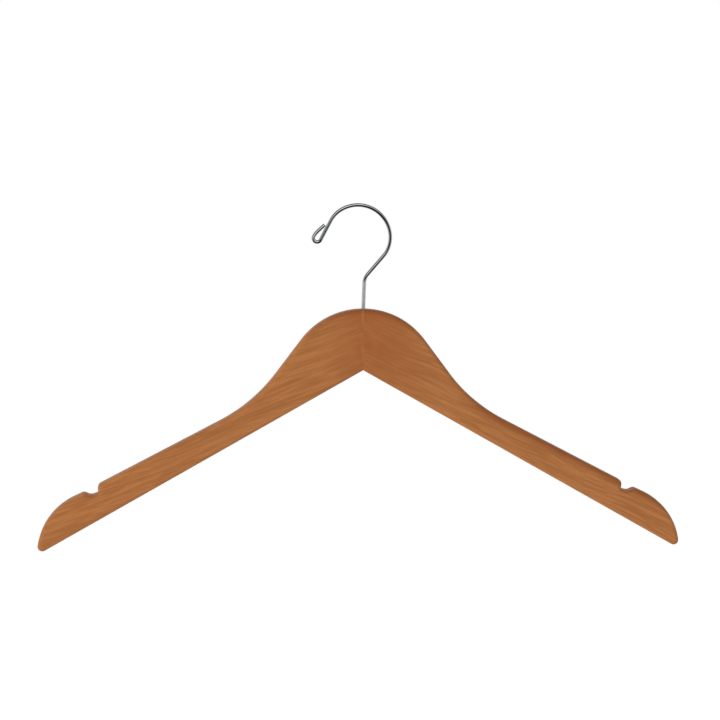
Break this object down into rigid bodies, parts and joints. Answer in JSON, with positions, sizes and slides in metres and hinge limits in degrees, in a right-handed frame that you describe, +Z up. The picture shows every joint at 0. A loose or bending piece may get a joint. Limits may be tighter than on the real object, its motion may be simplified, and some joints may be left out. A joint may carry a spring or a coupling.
{
  "type": "clothes hanger",
  "caption": "Flat wooden clothes hanger with sloping shoulders, a strap notch near each tip and a swivelling chrome wire hook whose end is bent back into a closed eye.",
  "frame": {"origin": "on the hook's swivel axis, at the height of the inside of the crook, where a rail touches it", "axes": "+X along the hanger, to the right seen from the front; +Y from the front face to the back; +Z up along the stem"},
  "size_m": [0.432, 0.012, 0.2313],
  "materials": {
    "lacquered_wood": "warm brown stain under clear satin lacquer, edges rounded",
    "chrome_wire": "bright chrome plate on drawn steel wire",
    "washer_steel": "zinc-plated, punched",
    "dowel_wood": "plain, unlacquered"
  },
  "bodies": {
    "wire_hook": {"hook": "chrome_wire"},
    "wooden_arms": {"left_arm": "lacquered_wood", "right_arm": "lacquered_wood", "upper_dowel": "dowel_wood", "lower_dowel": "dowel_wood", "thrust_washer": "washer_steel"}
  },
  "joints": [
    {"name": "hook_swivel", "type": "hinge", "parent": "wire_hook", "child": "wooden_arms", "pos_m": [0, 0, -0.0676], "axis": [0, 0, 1], "continuous": true}
  ]
}
